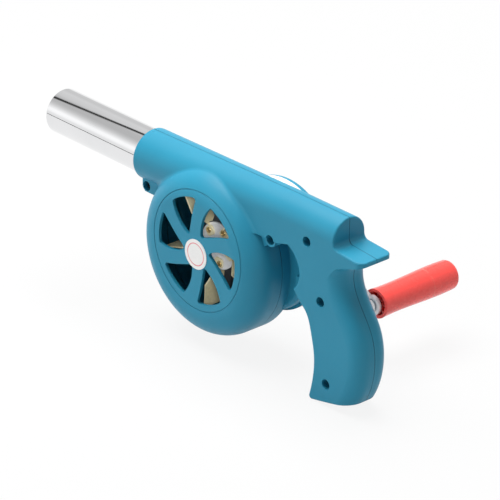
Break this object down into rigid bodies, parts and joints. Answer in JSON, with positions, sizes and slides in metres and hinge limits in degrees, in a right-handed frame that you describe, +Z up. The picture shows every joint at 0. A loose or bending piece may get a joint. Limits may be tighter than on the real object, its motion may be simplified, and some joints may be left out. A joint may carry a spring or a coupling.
{
  "type": "hand crank fan",
  "caption": "Pistol-shaped hand crank fan that blows air from a bright round nozzle when its side crank is turned.",
  "frame": {"origin": "middle of the hand grip, on the parting plane of the two housing halves", "axes": "-X the way the nozzle blows, +X the rear, -Y the air intake side, +Y the crank side, +Z up"},
  "size_m": [0.2917, 0.1386, 0.1237],
  "materials": {
    "blue_plastic": "satin",
    "red_plastic": "gloss",
    "polished_steel": "polished",
    "white_label": "satin",
    "zinc_steel": "satin",
    "yellow_zinc_steel": "satin",
    "brass": "satin",
    "machined_steel": "machined",
    "dark_steel": "blackened",
    "gear_nylon": "matte"
  },
  "bodies": {
    "housing": {"left_shell": "blue_plastic", "right_shell": "blue_plastic", "gear_cover": "blue_plastic", "cover_label": "white_label", "nozzle_tube": "polished_steel", "centre_badge": "white_label", "housing_screws": "dark_steel", "gear_cover_screws": "dark_steel", "gearbox_front_plate": "zinc_steel", "gearbox_back_plate": "zinc_steel", "gearbox_pillars": "zinc_steel", "gearbox_screws": "dark_steel", "front_plate_bushes": "brass", "back_plate_bushes": "brass", "cover_bush": "brass", "idler_axle": "machined_steel"},
    "crank": {"crank_shaft": "machined_steel", "crank_shaft_clip": "zinc_steel", "crank_gear": "gear_nylon", "crank_arm": "zinc_steel", "crank_washer": "zinc_steel", "crank_nut": "zinc_steel", "handle_pin": "machined_steel", "handle_clip": "zinc_steel"},
    "idler": {"idler_wheel": "gear_nylon", "idler_pinion": "machined_steel"},
    "fan": {"fan_shaft": "machined_steel", "fan_pinion": "machined_steel", "impeller_hub": "brass", "impeller_disc": "zinc_steel", "impeller_blades": "yellow_zinc_steel", "impeller_eyelets": "brass", "impeller_nut": "zinc_steel"},
    "handle": {"handle_grip": "red_plastic"}
  },
  "joints": [
    {"name": "crank_turn", "type": "hinge", "parent": "housing", "child": "crank", "pos_m": [-0.088, 0.02, 0.028], "axis": [0, 1, 0], "continuous": true},
    {"name": "idler_turn", "type": "hinge", "parent": "housing", "child": "idler", "pos_m": [-0.10005, 0.01, 0.00587], "axis": [0, 1, 0], "continuous": true},
    {"name": "fan_turn", "type": "hinge", "parent": "housing", "child": "fan", "pos_m": [-0.113, 0, 0.025], "axis": [0, 1, 0], "continuous": true},
    {"name": "handle_turn", "type": "hinge", "parent": "crank", "child": "handle", "pos_m": [-0.02773, 0.0811, -0.0001], "axis": [0, 1, 0], "continuous": true}
  ],
  "couplings": [
    {"joint": "idler_turn", "follows": "crank_turn", "ratio": -5},
    {"joint": "fan_turn", "follows": "crank_turn", "ratio": 22.5}
  ]
}
